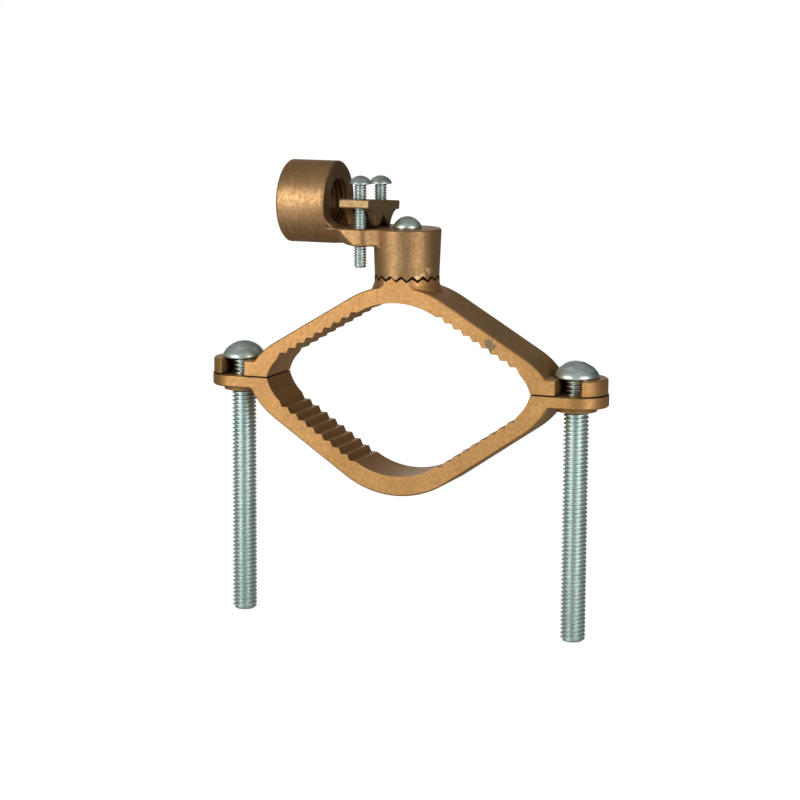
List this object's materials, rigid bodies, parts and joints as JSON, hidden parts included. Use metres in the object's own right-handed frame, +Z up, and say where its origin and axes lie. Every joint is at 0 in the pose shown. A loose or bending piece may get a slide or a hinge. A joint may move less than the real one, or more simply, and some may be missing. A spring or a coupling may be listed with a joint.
{
  "type": "earthing pipe clamp",
  "caption": "Cast bronze two-jaw earthing clamp for a metal pipe, with long slotted screws and a swivelling conduit hub that carries a wire saddle.",
  "frame": {"origin": "centre of the pipe seat: half way between the clamp screws, on the plane where the jaws meet, at mid depth", "axes": "+Z up along the clamp screws towards the hub, +Y back along the pipe, X across the clamp with the hub's conduit mouth towards -X"},
  "size_m": [0.1618, 0.0329, 0.1799],
  "materials": {
    "bronze": "satin as-cast bronze",
    "zinc_steel": "zinc-plated steel"
  },
  "bodies": {
    "upper_jaw": {"upper_jaw": "bronze"},
    "lower_jaw": {"lower_jaw": "bronze"},
    "left_clamp_screw": {"left_clamp_screw": "zinc_steel"},
    "right_clamp_screw": {"right_clamp_screw": "zinc_steel"},
    "hub_screw": {"hub_screw": "zinc_steel"},
    "hub": {"hub": "bronze"},
    "wire_saddle": {"wire_saddle": "bronze"},
    "front_saddle_screw": {"front_saddle_screw": "zinc_steel"},
    "back_saddle_screw": {"back_saddle_screw": "zinc_steel"}
  },
  "joints": [
    {"name": "jaw_opening", "type": "slide", "parent": "upper_jaw", "child": "lower_jaw", "axis": [0, 0, -1], "range_m": [0, 0.085]},
    {"name": "left_clamp_screw_turn", "type": "hinge", "parent": "upper_jaw", "child": "left_clamp_screw", "pos_m": [-0.0686, 0, 0], "axis": [0, 0, 1], "continuous": true},
    {"name": "right_clamp_screw_turn", "type": "hinge", "parent": "upper_jaw", "child": "right_clamp_screw", "pos_m": [0.0686, 0, 0], "axis": [0, 0, 1], "continuous": true},
    {"name": "hub_screw_lift", "type": "slide", "parent": "upper_jaw", "child": "hub_screw", "axis": [0, 0, 1], "range_m": [0, 0.006]},
    {"name": "hub_swivel", "type": "hinge", "parent": "hub_screw", "child": "hub", "pos_m": [0, 0, 0], "axis": [0, 0, 1], "range_deg": [0, 40]},
    {"name": "saddle_lift", "type": "slide", "parent": "hub", "child": "wire_saddle", "axis": [0, 0, 1], "range_m": [0, 0.0055]},
    {"name": "front_saddle_screw_turn", "type": "hinge", "parent": "hub", "child": "front_saddle_screw", "pos_m": [-0.0152, -0.0104, 0], "axis": [0, 0, 1], "continuous": true},
    {"name": "back_saddle_screw_turn", "type": "hinge", "parent": "hub", "child": "back_saddle_screw", "pos_m": [-0.0152, 0.0104, 0], "axis": [0, 0, 1], "continuous": true}
  ],
  "couplings": [
    {"joint": "left_clamp_screw_turn", "follows": "jaw_opening", "rad_per_m": 3957.9},
    {"joint": "right_clamp_screw_turn", "follows": "jaw_opening", "rad_per_m": 3957.9},
    {"joint": "hub_swivel", "follows": "hub_screw_lift", "rad_per_m": 116.36}
  ]
}
